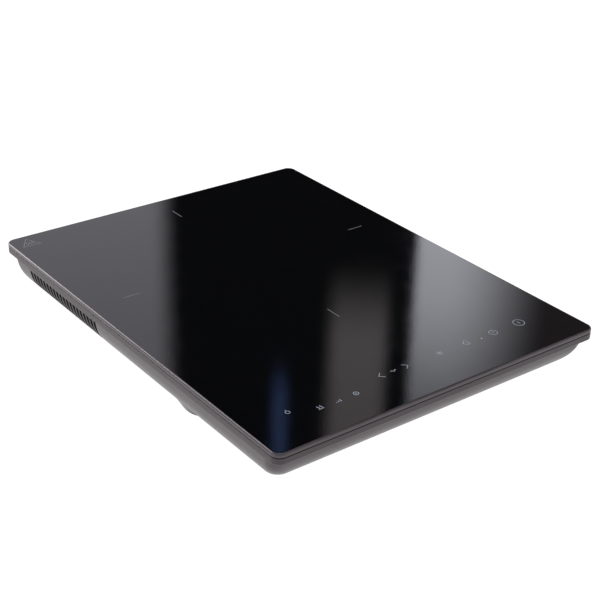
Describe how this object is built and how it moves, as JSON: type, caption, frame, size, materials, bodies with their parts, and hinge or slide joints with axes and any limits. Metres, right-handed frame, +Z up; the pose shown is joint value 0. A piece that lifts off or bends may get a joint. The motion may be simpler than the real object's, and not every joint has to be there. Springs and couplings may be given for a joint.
{
  "type": "electric induction cooktop",
  "caption": "Slim portable induction cooktop: black glass top with touch controls, dark plastic frame, rounded base tub with side air slots and round feet.",
  "frame": {"origin": "bottom centre of the whole object, in the plane where its feet rest", "axes": "+Z up, +Y to the back edge (long direction), -Y the control edge, -X the side with the air slots"},
  "size_m": [0.28, 0.365, 0.042],
  "materials": {
    "black_glass": "polished, faintly rippled",
    "seal_black": "satin",
    "frame_plastic": "satin, fine grain",
    "tub_plastic": "satin, fine grain",
    "foot_rubber": "matt",
    "screw_steel": "zinc plated",
    "spring_steel": "bright",
    "gland_plastic": "matt",
    "lead_sleeve": "satin sleeve",
    "fan_plastic": "satin",
    "bronze": "sintered",
    "copper_winding": "varnished strands",
    "ferrite": "matt",
    "connector_plastic": "satin",
    "carrier_plastic": "matt",
    "mica": "layered sheen",
    "felt": "fibrous",
    "silicone": "matt",
    "sensor_ceramic": "matt",
    "board_green": "solder mask",
    "heatsink_metal": "extruded",
    "chip_black": "moulded",
    "capacitor_red": "epoxy",
    "capacitor_yellow": "epoxy",
    "capacitor_sleeve": "shrunk sleeve",
    "fuse_glass": "clear tube",
    "varistor_blue": "dipped",
    "transformer_tape": "taped",
    "led_clear": "diffused",
    "ribbon_grey": "satin"
  },
  "bodies": {
    "case": {"glass_top": "black_glass", "glass_seal": "seal_black", "top_frame": "frame_plastic", "base_tub": "tub_plastic", "foot_front_left": "foot_rubber", "foot_front_right": "foot_rubber", "foot_back_left": "foot_rubber", "foot_back_right": "foot_rubber", "case_screws": "screw_steel", "mains_gland": "gland_plastic", "mains_leads": "lead_sleeve", "fan_housing": "fan_plastic", "fan_bearing": "bronze", "fan_stator": "copper_winding", "fan_screws": "screw_steel", "fan_lead": "lead_sleeve", "fan_connector": "connector_plastic", "coil_carrier": "carrier_plastic", "carrier_screws": "screw_steel", "ferrite_bars": "ferrite", "induction_coil": "copper_winding", "mica_sheet": "mica", "insulation_felt": "felt", "sensor_holder": "silicone", "sensor_spring": "screw_steel", "temperature_sensor": "sensor_ceramic", "coil_leads": "lead_sleeve", "coil_terminals": "bronze", "power_board": "board_green", "power_board_screws": "screw_steel", "heatsink": "heatsink_metal", "heatsink_screws": "screw_steel", "heatsink_thermistor": "chip_black", "igbt": "chip_black", "bridge_rectifier": "chip_black", "resonant_capacitor": "capacitor_red", "filter_capacitor": "capacitor_yellow", "suppression_capacitor": "capacitor_yellow", "line_choke": "copper_winding", "fuse": "fuse_glass", "varistor": "varistor_blue", "supply_transformer": "transformer_tape", "electrolytic_capacitors": "capacitor_sleeve", "buzzer": "chip_black", "control_board": "board_green", "control_board_screws": "screw_steel", "touch_springs": "spring_steel", "indicator_leds": "led_clear", "level_display": "chip_black", "ribbon_sockets": "connector_plastic", "ribbon_cable": "ribbon_grey"},
    "fan_wheel": {"fan_rotor": "fan_plastic", "fan_shaft": "screw_steel", "fan_magnet": "ferrite"}
  },
  "joints": [
    {"name": "fan_spin", "type": "hinge", "parent": "case", "child": "fan_wheel", "pos_m": [-0.045, -0.088, 0.024], "axis": [0, 0, 1], "continuous": true}
  ]
}
